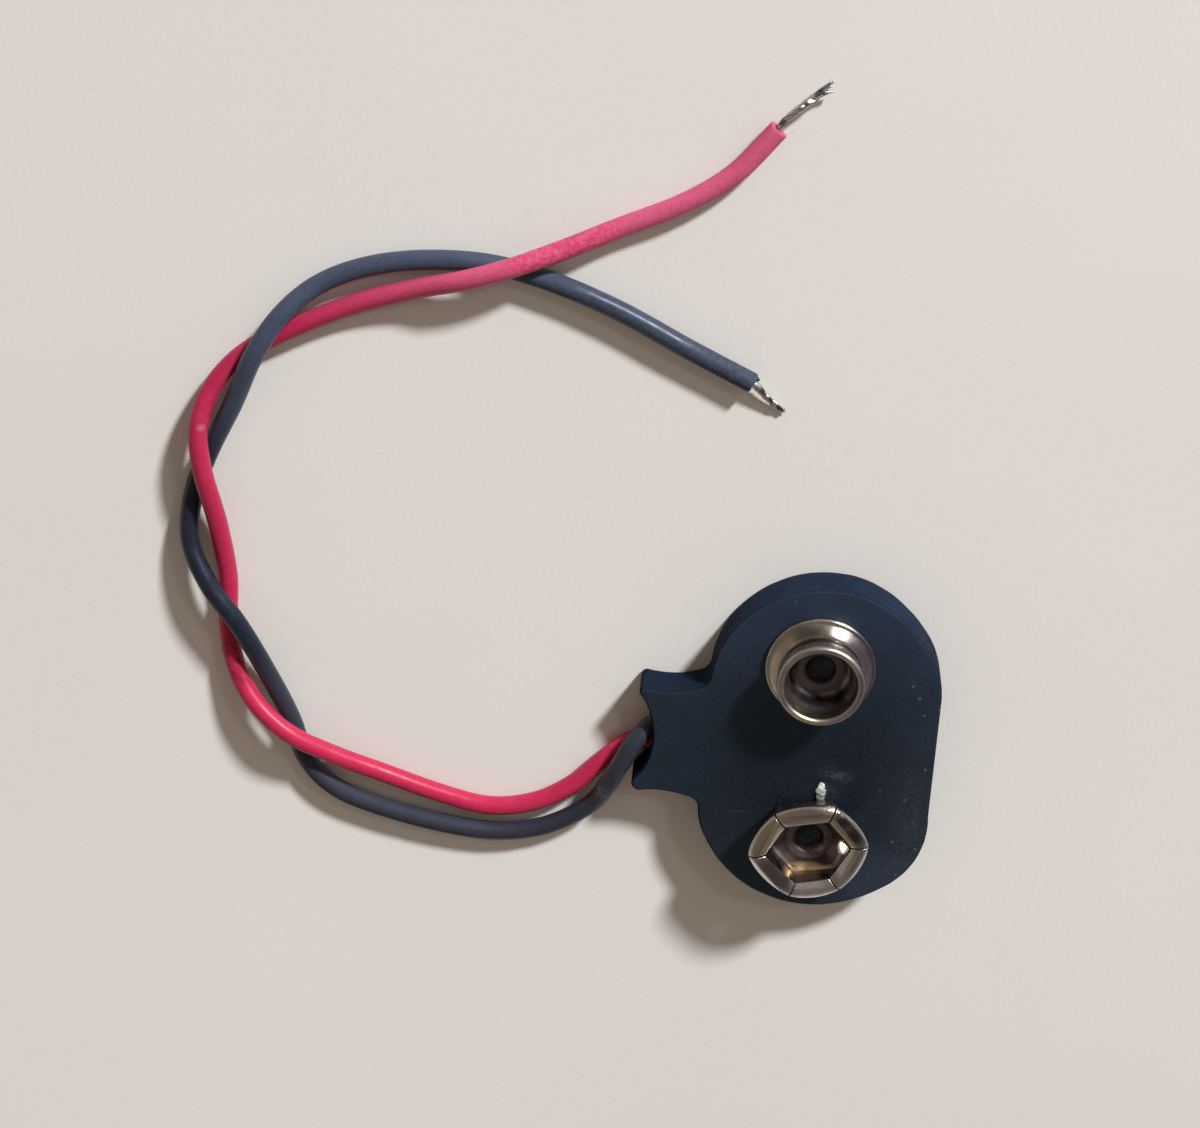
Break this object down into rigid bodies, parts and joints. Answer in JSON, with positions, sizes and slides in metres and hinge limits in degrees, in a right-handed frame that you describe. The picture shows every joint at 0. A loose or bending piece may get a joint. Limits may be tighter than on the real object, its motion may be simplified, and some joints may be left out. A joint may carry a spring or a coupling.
{
  "type": "snap connector",
  "caption": "Flat black snap connector that clips onto a rectangular battery, with a round stud, a six-sided socket and a twisted pair of red and black leads with stripped ends.",
  "frame": {"origin": "on the back of the body, midway between the axes of the two contacts", "axes": "+Z out of the front sheet along the contacts, +Y from the socket to the stud, -X towards the lead tab"},
  "size_m": [0.0506, 0.0563, 0.0059],
  "materials": {
    "black_vinyl": "matte",
    "nickel": "polished, slightly warm",
    "brass": "plain",
    "solder": "satin",
    "tinned_copper": "satin",
    "black_insulation": "satin",
    "red_insulation": "satin"
  },
  "bodies": {
    "root": {"front_sheet": "black_vinyl", "back_cover": "black_vinyl", "stud_contact": "nickel", "socket_contact": "nickel", "stud_eyelet": "nickel", "socket_eyelet": "nickel", "stud_solder_tab": "brass", "socket_solder_tab": "brass", "black_solder_joint": "solder", "red_solder_joint": "solder", "black_inner_strands": "tinned_copper", "red_inner_strands": "tinned_copper", "black_lead": "black_insulation", "red_lead": "red_insulation", "black_bare_end": "tinned_copper", "red_bare_end": "tinned_copper"}
  },
  "joints": []
}
